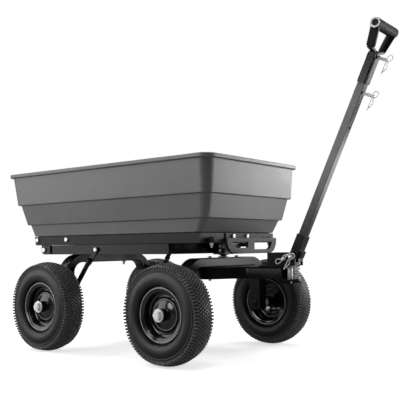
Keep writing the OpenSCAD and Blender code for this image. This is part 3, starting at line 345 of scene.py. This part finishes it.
def makeTub():
    low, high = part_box("tub")
    steps = tubShape["arcSteps"]
    bm = bmesh.new()
    order = bm.verts.layers.int.new("order")
    bmesh.ops.create_circle(bm, cap_ends=True, segments=4 * (steps + 1), radius=1)
    for k, dot in enumerate(sorted(bm.verts, key=lambda v: atan2(v.co.y, v.co.x) % (2 * pi))):
        dot[order] = k

    def settle(dots, level):
        (rear, front, side), z, radius = level
        for dot in dots:
            corner, along = divmod(dot[order], steps + 1)
            angle = pi / 2 * (corner + along / steps)
            ahead, left = (1, -1, -1, 1)[corner], (1, 1, -1, -1)[corner]
            endX = high.x / mm - front - radius if ahead > 0 else low.x / mm + rear + radius
            endY = left * (high.y / mm - side - radius)
            dot.co = Vector((endX + radius * cos(angle), endY + radius * sin(angle), z)) * mm

    levels = tubLevels()
    loop = list(bm.edges)
    settle(bm.verts, levels[0])
    for level in levels[1:]:
        grown = bmesh.ops.extrude_edge_only(bm, edges=loop)["geom"]
        loop = [g for g in grown if isinstance(g, bmesh.types.BMEdge) and g.is_boundary]
        settle([g for g in grown if isinstance(g, bmesh.types.BMVert)], level)
    bmesh.ops.edgeloop_fill(bm, edges=loop)
    bmesh.ops.recalc_face_normals(bm, faces=bm.faces)
    tub = piece("tub_shell", bm, "tub_plastic", "bed", ("tub",))
    roundEdges(tub, tubShape["round"] * mm, tubShape["roundSteps"], tubShape["roundFrom"])


makeTub()
print("tub shell made")


# tyres: a plain carcass, and one pitch of tread blocks copied round it
tyreShape = {
    "outer": 165, "pitches": 90, "crown": 84, "block": 7.0, "depth": 6.0, "sunk": 1.6, "chamfer": 0.7,
    # rows: distance across, stagger, width
    "rows": ((0.0, 0.0, 6.2), (8.5, 0.5, 6.2), (17.0, 0.0, 6.2), (25.4, 0.5, 6.2), (33.8, 0.0, 7.4)),
    # shoulder bars: stagger, radius, length, width
    "bars": ((0.0, 150.2, 13.6, 8.2), (0.5, 144.0, 6.0, 5.2)),
    "barAside": 40.2, "barLean": 40, "barBlock": 0.84, "steps": 120,
    "carcass": ((76.2, 0), (76.2, 29.2), (92.6, 29.2), (94.4, 34.5), (95.4, 39.4), (97.6, 42.8), (101, 45.4),
                (107, 47.6), (113, 48.8), (119, 48.9), (126, 47.8), (132, 45.9), (136.5, 43.9),
                (138.2, 44.6), (140.2, 44.4), (141.4, 42.2), (146, 40.4), (150.4, 36.5), (154.2, 30),
                (157.8, 20), (159.8, 10), (160.4, 0))}


def wheelPlace(node, outward):
    low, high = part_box(node)
    turn = Matrix(((1, 0, 0, 0), (0, 0, outward, 0), (0, 1, 0, 0), (0, 0, 0, 1)))
    return Matrix.Translation((low + high) / 2) @ turn @ Matrix.Scale(mm, 4)


def treadBlock(bm, turn, radius, aside, lean, sizes):
    stand = Matrix.Rotation(turn, 4, "Z") @ Matrix.Translation((radius, 0, aside))
    bmesh.ops.create_cube(bm, size=1, matrix=stand @ Matrix.Rotation(lean, 4, "Y")
                          @ Matrix.Diagonal((*sizes, 1)))


def makeTyre(name, node, body, outward):
    t = tyreShape
    bm = bmesh.new()
    wearAndSheen = bm.verts.layers.float.new("wearAndSheen")
    pitch = 2 * pi / t["pitches"]
    tall = t["depth"] + t["sunk"]
    reach = t["crown"] - tall / 2
    for across, stagger, width in t["rows"]:
        lean = asin(across / t["crown"])
        radius = t["outer"] - t["crown"] + reach * cos(lean)
        for side in (1, -1) if across else (1,):
            treadBlock(bm, stagger * pitch, radius, side * reach * sin(lean), -side * lean,
                       (tall, t["block"], width))
    for side in (1, -1):  # shoulder bars run down the flank
        for stagger, radius, long, wide in t["bars"]:
            treadBlock(bm, stagger * pitch, radius, side * t["barAside"], -side * radians(t["barLean"]),
                       (long, t["block"] * t["barBlock"], wide))
    bmesh.ops.bevel(bm, geom=list(bm.edges), offset=t["chamfer"], offset_type="OFFSET", segments=1,
                    profile=0.5, affect="EDGES", material=-1)
    for dot in bm.verts:  # the tread is painted paler than the carcass: partly scrubbed wear, partly painted sheen
        dot[wearAndSheen] = 1.0
    copies = t["pitches"] - 1
    bmesh.ops.spin(bm, geom=bm.verts[:] + bm.edges[:] + bm.faces[:], angle=2 * pi * copies / t["pitches"],
                   steps=copies, axis=(0, 0, 1), cent=(0, 0, 0), use_duplicate=True)
    lathe(bm, bothHalves(t["carcass"]), t["steps"])
    bmesh.ops.transform(bm, matrix=wheelPlace(node, outward), verts=bm.verts)
    tidyMesh(bm)
    piece(name, bm, "tyre_rubber", body, (node,), sharp=38)


# rims: pressed disc, bead seat with rolled flanges, and the hub tube
rimShape = {
    "disc": ((19, 17.5), (24, 17.3), (30, 16.5), (37, 14.8), (43, 12.6), (46, 11.7), (48.4, 11.8),
             (50.6, 12.2), (52.4, 11.4), (53.8, 9.2), (54.8, 6.4), (56.4, 4.9), (60, 4.5), (67, 4.5),
             (70.5, 5.3), (73.6, 8)),
    "seat": ((76, 0), (76, 27.4), (77, 29.2), (81, 29.6), (86, 29.6), (88.9, 30.4), (90, 32.5), (89.2, 34.6),
             (87, 35.5), (84.7, 34.9), (83, 33.4), (80.6, 32.6), (76.8, 32.3), (74.2, 31), (73, 28.4),
             (72.6, 14), (72.6, 0)),
    "hub": ((15.1, -45), (19.2, -45), (20, -44.2), (20, 37.2), (19.2, 38), (15.1, 38)),
    "sheet": 3, "steps": 96, "hubSteps": 64, "lipFrom": 35.2, "ridge": 12.2, "ridgeHighlight": 0.4}


def makeRim(name, node, body, tyreNode, outward):
    r = rimShape
    bm = bmesh.new()
    wearAndSheen = bm.verts.layers.float.new("wearAndSheen")
    lathe(bm, list(r["disc"]) + [(out, h - r["sheet"]) for out, h in reversed(r["disc"])], r["steps"])
    lathe(bm, bothHalves(r["seat"]), r["steps"])
    for dot in bm.verts:  # painted highlight: pale grey on the rolled lips and the ridge of the disc
        onLip, onRidge = abs(dot.co.z) > r["lipFrom"], abs(dot.co.z - r["ridge"]) < 0.05
        dot[wearAndSheen] = 1.0 if onLip else r["ridgeHighlight"] if onRidge else 0.0
    lathe(bm, r["hub"], r["hubSteps"])
    bmesh.ops.transform(bm, matrix=wheelPlace(tyreNode, outward), verts=bm.verts)
    tidyMesh(bm)
    piece(name, bm, "wheel_gloss_black", body, (node,), sharp=50)


for axle in ("rear", "front"):
    for side, outward in (("left", 1), ("right", -1)):
        body = "wheel_%s_%s_body" % (axle, side)
        tyreNode = "tyre_%s_%s" % (axle, side)
        makeTyre("tread_%s_%s" % (axle, side), tyreNode, body, outward)
        makeRim("rim_%s_%s" % (axle, side), "wheel_%s_%s" % (axle, side), body, tyreNode, outward)
print("tyres and rims made")


# support spring: wire circle spun up the coil, with a close turn at each end
springShape = {"turns": 7, "closed": 0.75, "wire": 1.8, "sides": 10, "coil": 9.5, "steps": 24,
               "closePitch": 1.04, "pressed": 0.84}


def makeSpring():
    low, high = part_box("support_spring")
    middle = (low + high) / 2
    wire, coil = springShape["wire"] * mm, springShape["coil"] * mm
    bm = bmesh.new()
    stand = Matrix.Translation((coil, 0, 0)) @ Matrix.Rotation(pi / 2, 4, "X")
    face = bmesh.ops.create_circle(bm, cap_ends=True, segments=springShape["sides"], radius=wire, matrix=stand)
    geom = list({f for v in face["verts"] for f in v.link_faces})
    closed, turns = springShape["closed"], springShape["turns"] - 2 * springShape["closed"]
    flat = 2 * wire * springShape["closePitch"] * closed
    rise = high.z - low.z - 2 * wire - 2 * flat
    for part, climb in ((closed, flat), (turns, rise), (closed, flat)):
        steps = round(part * springShape["steps"])
        geom = bmesh.ops.spin(bm, geom=geom, angle=2 * pi * part, steps=steps, axis=(0, 0, 1), cent=(0, 0, 0),
                              dvec=(0, 0, climb / steps))["geom_last"]
    bmesh.ops.holes_fill(bm, edges=[e for e in bm.edges if e.is_boundary], sides=0)
    bmesh.ops.translate(bm, verts=bm.verts, vec=(middle.x, middle.y, low.z + wire))
    tidyMesh(bm)
    return piece("hitch_spring", bm, "spring_steel", "steering", ("support_spring",), sharp=60)


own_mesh(makeSpring(), "handle_fold", axis=(0, 0, 1), anchor=spot(903, 0, 270), keep=springShape["pressed"])
print("spring made")


# drawbar: bent sheet channel with a soft radius along its top
barShape = {"rear": 576, "bend": 645, "neck": 706, "front": 862, "wide": 150, "narrow": 34,
            "low": 270, "top": 310, "sheet": 5, "bendRadius": 24, "bendSteps": 6,
            "topRadius": 7, "topSteps": 4, "edge": 0.8, "edgeSteps": 2, "edgeFrom": 50}


def makeDrawbar():
    b = barShape
    half = ((b["rear"], b["wide"]), (b["bend"], b["wide"]), (b["neck"], b["narrow"]), (b["front"], b["narrow"]))
    bm = bmesh.new()
    outline = [(x, -y) for x, y in half] + list(half[::-1])
    dots = [bm.verts.new(spot(x, y, b["top"])) for x, y in outline]
    bm.faces.new(dots)
    bmesh.ops.bevel(bm, geom=[dots[i] for i in (1, 2, 5, 6)], offset=b["bendRadius"] * mm,
                    offset_type="OFFSET", segments=b["bendSteps"], profile=0.5, affect="VERTICES", material=-1)
    rim = [e for e in bm.edges if e.is_boundary and abs(e.verts[0].co.x - e.verts[1].co.x) > 1e-6]
    grown = bmesh.ops.extrude_edge_only(bm, edges=rim)["geom"]
    feet = [g for g in grown if isinstance(g, bmesh.types.BMVert)]
    bmesh.ops.translate(bm, verts=feet, vec=(0, 0, (b["low"] - b["top"]) * mm))
    nearTop = (b["top"] - 1) * mm
    folds = [e for e in bm.edges if not e.is_boundary and min(v.co.z for v in e.verts) > nearTop]
    bmesh.ops.bevel(bm, geom=folds, offset=b["topRadius"] * mm, offset_type="OFFSET", segments=b["topSteps"],
                    profile=0.5, affect="EDGES", material=-1)
    bmesh.ops.recalc_face_normals(bm, faces=bm.faces)
    if max(bm.faces, key=lambda f: f.calc_area()).normal.z < 0:
        bmesh.ops.reverse_faces(bm, faces=bm.faces)
    made = piece("drawbar_channel", bm, "frame_paint", "steering", ("drawbar",))
    sheet = made.modifiers.new("sheet", "SOLIDIFY")
    sheet.thickness, sheet.offset = b["sheet"] * mm, -1
    roundEdges(made, b["edge"] * mm, b["edgeSteps"], b["edgeFrom"])


makeDrawbar()


# the handle's own frame: its pivot, and its lean forward from upright in degrees
handleShape = {"pivot": (898, 0, 346), "lean": 25.4}
handleFrame = (Matrix.Translation(spot(*handleShape["pivot"]))
               @ Matrix.Rotation(radians(handleShape["lean"]), 4, "Y") @ Matrix.Scale(mm, 4))


# spring clips: wire bent to a pear loop with a straight leg and a wavy one
clipShape = {
    "wire": 1.5, "roundness": 4, "steps": 6,
    "path": ((0, 0, -46), (0, 0, -24), (0, 0, 0), (0.2, 0, 9), (3.2, 0, 15.6), (9.0, 0, 17.8),
             (15.0, 0, 14.6), (16.2, 0, 8), (11.6, 0.8, 1), (6.4, 1.8, -5), (5.2, 2.4, -11.5),
             (8.6, 2.4, -19), (6.4, 2.6, -27), (2.0, 3.1, -35), (-3.4, 3.1, -44)),
    "tow": ((47, 0, 688), (47, 0, 572)),  # along the handle
    "hitch": (((898, -38, 346), 28, -3), ((872, -32, 338), 230, 14))}  # place, turn, slide along the leg


def clipMesh():
    curve = bpy.data.curves.new("clipWire", "CURVE")
    curve.dimensions = "3D"
    curve.bevel_depth, curve.bevel_resolution = clipShape["wire"], clipShape["roundness"]
    curve.use_fill_caps = True
    wire = curve.splines.new("BEZIER")
    wire.bezier_points.add(len(clipShape["path"]) - 1)
    wire.resolution_u = clipShape["steps"]
    for point, place in zip(wire.bezier_points, clipShape["path"]):
        point.co = place
        point.handle_left_type = point.handle_right_type = "AUTO"
    bent = bpy.data.objects.new("clipWire", curve)
    bpy.context.scene.collection.objects.link(bent)
    bpy.context.view_layer.update()
    mesh = bpy.data.meshes.new_from_object(bent.evaluated_get(bpy.context.evaluated_depsgraph_get()))
    bpy.data.objects.remove(bent)
    return mesh


def makeClips(name, body, node, places):
    wire = clipMesh()
    bm = bmesh.new()
    for place in places:
        before = len(bm.verts)
        bm.from_mesh(wire)
        bm.verts.ensure_lookup_table()
        bmesh.ops.transform(bm, matrix=place, verts=bm.verts[before:])
    bmesh.ops.recalc_face_normals(bm, faces=bm.faces)
    piece(name, bm, "zinc", body, (node,), sharp=60)


def hitchClip(place, turn, slide):
    stand = Matrix.Translation(spot(*place)) @ Matrix.Rotation(radians(turn), 4, "Y") @ Matrix.Scale(mm, 4)
    return stand @ Matrix.Translation((0, 0, slide))


makeClips("tow_clip_wires", "handle", "tow_clips",
          [handleFrame @ Matrix.Translation(place) for place in clipShape["tow"]])
makeClips("hitch_clip_wires", "steering", "hitch_clips", [hitchClip(*clip) for clip in clipShape["hitch"]])
print("drawbar and clips made")


# grip: moulded bar and arms run together, with a steel plate at each end of the bar
gripShape = {
    "bar": 779, "half": 69.5, "radius": 17, "barSides": 40, "foot": (41, 711), "top": (63, 779),
    "strap": (28, 13), "arm": (12, 15), "armFlat": (1.1, 0.62), "armSides": 32,
    "voxel": 1.7, "soften": 0.5, "softenTimes": 8, "plateAside": 69.6,
    "plate": ((10.2, 0), (16.2, 0), (16.6, 0.4), (16.6, 1.2), (16.2, 1.6), (10.2, 1.6))}


def makeGrip():
    g = gripShape
    bm = bmesh.new()
    lie = Matrix.Translation((0, 0, g["bar"])) @ Matrix.Rotation(pi / 2, 4, "X")
    bmesh.ops.create_cone(bm, cap_ends=True, segments=g["barSides"], radius1=g["radius"], radius2=g["radius"],
                          depth=2 * g["half"], matrix=lie)
    (footY, footZ), (topY, topZ) = g["foot"], g["top"]
    lean = atan2(topY - footY, topZ - footZ)
    long = ((topY - footY) ** 2 + (topZ - footZ) ** 2) ** 0.5
    for side in (-1, 1):
        middle = Matrix.Translation((0, side * (footY + topY) / 2, (footZ + topZ) / 2))
        middle = middle @ Matrix.Rotation(-side * lean, 4, "X")
        if side < 0:  # flat strap on the near side, round arm on the far side
            bmesh.ops.create_cube(bm, size=1, matrix=middle @ Matrix.Diagonal((*g["strap"], long, 1)))
        else:
            bmesh.ops.create_cone(bm, cap_ends=True, segments=g["armSides"], radius1=g["arm"][0],
                                  radius2=g["arm"][1], depth=long,
                                  matrix=middle @ Matrix.Diagonal((*g["armFlat"], 1, 1)))
    bmesh.ops.transform(bm, matrix=handleFrame, verts=bm.verts)
    made = piece("grip_moulding", bm, "grip_rubber", "handle", ("grip_pad",), sharp=60)
    skin = made.modifiers.new("skin", "REMESH")
    skin.mode, skin.voxel_size, skin.use_smooth_shade = "VOXEL", g["voxel"] * mm, True
    soften = made.modifiers.new("soften", "SMOOTH")
    soften.factor, soften.iterations = g["soften"], g["softenTimes"]


# boot on the king bolt, and painted plugs over the inner ends of the stub axles
smallShape = {
    "steps": 48, "kingBolt": (600, 0, 0),
    "boot": ((9.1, 345.6), (18.4, 345.6), (18.6, 346.4), (12.5, 347.4), (10, 348.6), (11, 349.8),
             (17, 351.2), (19.5, 352.2), (19.5, 352.9), (9.1, 352.9)),
    "plug": ((0.1, 0), (14, 0), (14, 1.6), (13, 2.6), (9, 3.2), (0.1, 3.4)),
    "plugAside": 195.9, "axleHeight": 165}


def ringPlate(name, slotName, body, outline, place):
    bm = bmesh.new()
    lathe(bm, outline, smallShape["steps"])
    bmesh.ops.transform(bm, matrix=place, verts=bm.verts)
    tidyMesh(bm)
    piece(name, bm, slotName, body)


def faceAside(side):
    # lays a lathe outline over, its height running out to one side
    return Matrix.Rotation(-side * pi / 2, 4, "X")


makeGrip()
sides = ((-1, "right"), (1, "left"))
for side, word in sides:
    end = Matrix.Translation((0, side * gripShape["plateAside"], gripShape["bar"]))
    ringPlate("grip_plate_" + word, "bearing_steel", "handle", gripShape["plate"],
              handleFrame @ end @ faceAside(side))
ringPlate("king_boot", "bumper_rubber", "chassis", smallShape["boot"],
          Matrix.Translation(spot(*smallShape["kingBolt"])) @ Matrix.Scale(mm, 4))
for x, axle, body in ((0, "rear", "chassis"), (600, "front", "steering")):
    for side, word in sides:
        end = Matrix.Translation(spot(x, side * smallShape["plugAside"], smallShape["axleHeight"]))
        ringPlate("axle_plug_%s_%s" % (axle, word), "frame_paint", body, smallShape["plug"],
                  end @ faceAside(-side) @ Matrix.Scale(mm, 4))
print("grip and small parts made")


# carried-over solids: the record's finish, with edges broken by a small radius
edgeShape = {
    "radius": {"frame_paint": 1.2, "bed_paint": 1.0, "black_plastic": 1.6, "zinc": 0.7,
               "bumper_rubber": 1.4, "grip_rubber": 2.0},
    "softer": {"chassis_front_member": 7, "front_arch": 4, "rear_arch": 4, "dump_lever": 3},
    "steps": 2, "softerSteps": 4, "from": 40, "weld": 1e-5}
glossier = ("handle_tube", "tow_clevis")
for name, node in nodes.items():
    if node.hide_render:
        continue
    node.data.materials.clear()
    node.data.materials.append(handlePaint if name in glossier else finishes[slotOf[name]])
    if slotOf[name] in edgeShape["radius"]:
        weld = node.modifiers.new("weld", "WELD")
        weld.merge_threshold = edgeShape["weld"]
        radius = edgeShape["softer"].get(name, edgeShape["radius"][slotOf[name]])
        steps = edgeShape["softerSteps" if name in edgeShape["softer"] else "steps"]
        roundEdges(node, radius * mm, steps, edgeShape["from"])
print("carried-over solids finished")


# stage: a pale floor and a white surround that keep the shadow
stageLook = {
    "inGloss": 0.08,  # how much of the white shows in reflections
    "floor": 0.80, "bounce": 0.34,  # the floor's paleness as seen, and as it lights the cart
    "glowNear": 0.62, "glowFrom": 1.0, "glowTo": 3.4,  # the floor turns white between these distances
    "ambient": 0.03, "reach": 20}


def grey(level):
    return (level, level, level)


def seenRays(s):
    camera = s.node("LightPath", out="Is Camera Ray")
    return camera + s.node("LightPath", out="Is Transmission Ray") \
        + stageLook["inGloss"] * s.node("LightPath", out="Is Glossy Ray")


def makeFloor():
    bm = bmesh.new()
    bmesh.ops.create_grid(bm, x_segments=1, y_segments=1, size=stageLook["reach"])
    mesh = bpy.data.meshes.new("floor")
    bm.to_mesh(mesh)
    bm.free()
    floor = bpy.data.objects.new("floor", mesh)
    bpy.context.scene.collection.objects.link(floor)
    material = bpy.data.materials.new("paleFloor")
    material.use_nodes = True
    tree = material.node_tree
    tree.nodes.clear()
    s = Shade(tree)
    camera = s.node("LightPath", out="Is Camera Ray")
    paleness = blendColours(s, camera, grey(stageLook["bounce"]), grey(stageLook["floor"]))
    plain = s.node("BsdfDiffuse", sockets={"Color": paleness})
    away = s.node("VectorMath", {"operation": "LENGTH"}, {0: s.node("TexCoord", out="Object")}, "Value")
    away = s.node("MapRange", sockets={"Value": away, "From Min": stageLook["glowFrom"],
                                       "From Max": stageLook["glowTo"]})
    whiteness = blendColours(s, away, grey(stageLook["glowNear"]), grey(1))
    glow = s.node("Emission", sockets={"Color": whiteness, "Strength": 1.0})
    lifted = s.node("AddShader", sockets={0: plain, 1: glow})
    shown = s.node("MixShader", sockets={0: seenRays(s), 1: plain, 2: lifted})
    tree.links.new(shown.socket, tree.nodes.new("ShaderNodeOutputMaterial").inputs["Surface"])
    mesh.materials.append(material)


def makeSurround():
    world = bpy.data.worlds.new("surround")
    world.use_nodes = True
    tree = world.node_tree
    tree.nodes.clear()
    s = Shade(tree)
    colour = blendColours(s, seenRays(s), grey(stageLook["ambient"]), grey(1))
    light = s.node("Background", sockets={"Color": colour, "Strength": 1.0})
    tree.links.new(light.socket, tree.nodes.new("ShaderNodeOutputWorld").inputs["Surface"])
    bpy.context.scene.world = world


makeFloor()
makeSurround()
print("stage made")

# soft boxes: place, aim, sizes, watts
lamps = {
    "lampRearNear": ((-4.05, -3.05, 1.9), (0, 0, 0.4), (3.5, 4.4), 132),
    "lampTop": ((0, 0.6, 3.0), (0, 0, 0.4), (1.3, 1.3), 44),
    "lampRail": ((-2.0, 0.0, 2.6), (0, 0, 0.4), (2.6, 0.6), 40),
    "lampFrontFar": ((2.15, 2.05, 1.05), (0, 0, 0.4), (1.6, 1.6), 18),
    "lampFar": ((1.45, 3.1, 1.2), (0.2, 0, 0.4), (1.5, 1.5), 12),
    "lampFarSmall": ((1.3, 3.2, 1.05), (0.3, 0.2, 0.5), (0.8, 0.9), 30),
    "lampCross": ((0.2, 3.1, 2.6), (0.2, 0, 0.4), (1.4, 0.6), 16),
    "lampLow": ((1.3, 1.25, 0.03), (0.65, 0, 0.75), (0.7, 0.7), 7),
    "lampFront": ((2.8, 1.3, 0.6), (0.2, 0, 0.25), (0.9, 0.9), 7),
    "lampSpark": ((1.0, -1.2, 2.6), (0.2, 0, 0.3), (0.35, 0.35), 8),
    "lampHandle": ((-0.74, -2.75, 1.2), (0.6, 0, 0.75), (0.8, 1.2), 20)}


def makeLamps():
    for name, (place, aim, sizes, watts) in lamps.items():
        lamp = bpy.data.lights.new(name, "AREA")
        lamp.shape, lamp.energy = "RECTANGLE", watts
        lamp.size, lamp.size_y = sizes
        made = bpy.data.objects.new(name, lamp)
        made.location = place
        made.rotation_euler = (Vector(aim) - Vector(place)).to_track_quat("-Z", "Y").to_euler()
        made.visible_camera = False
        bpy.context.scene.collection.objects.link(made)


makeLamps()
print("lamps:", len(lamps))

view = {"place": (1.573973, -1.96632, 0.38528), "azimuth": 38.44, "elevation": -3.85, "roll": -0.70,
        "lens": 60.93, "sensor": 36}


def makeCamera():
    turn, rise, roll = radians(view["azimuth"]), radians(view["elevation"]), radians(view["roll"])
    back = Vector((sin(turn) * cos(rise), -cos(turn) * cos(rise), sin(rise)))
    right = Vector((cos(turn), sin(turn), 0))
    up = back.cross(right)
    right, up = right * cos(roll) + up * sin(roll), up * cos(roll) - right * sin(roll)
    data = bpy.data.cameras.new("camera")
    data.lens, data.sensor_width = view["lens"], view["sensor"]
    camera = bpy.data.objects.new("camera", data)
    bpy.context.scene.collection.objects.link(camera)
    camera.matrix_world = Matrix.Translation(view["place"]) @ Matrix((right, up, back)).transposed().to_4x4()
    bpy.context.scene.camera = camera
    bpy.context.scene.view_settings.view_transform = "Standard"


makeCamera()
bpy.context.view_layer.update()
print("scene ready")
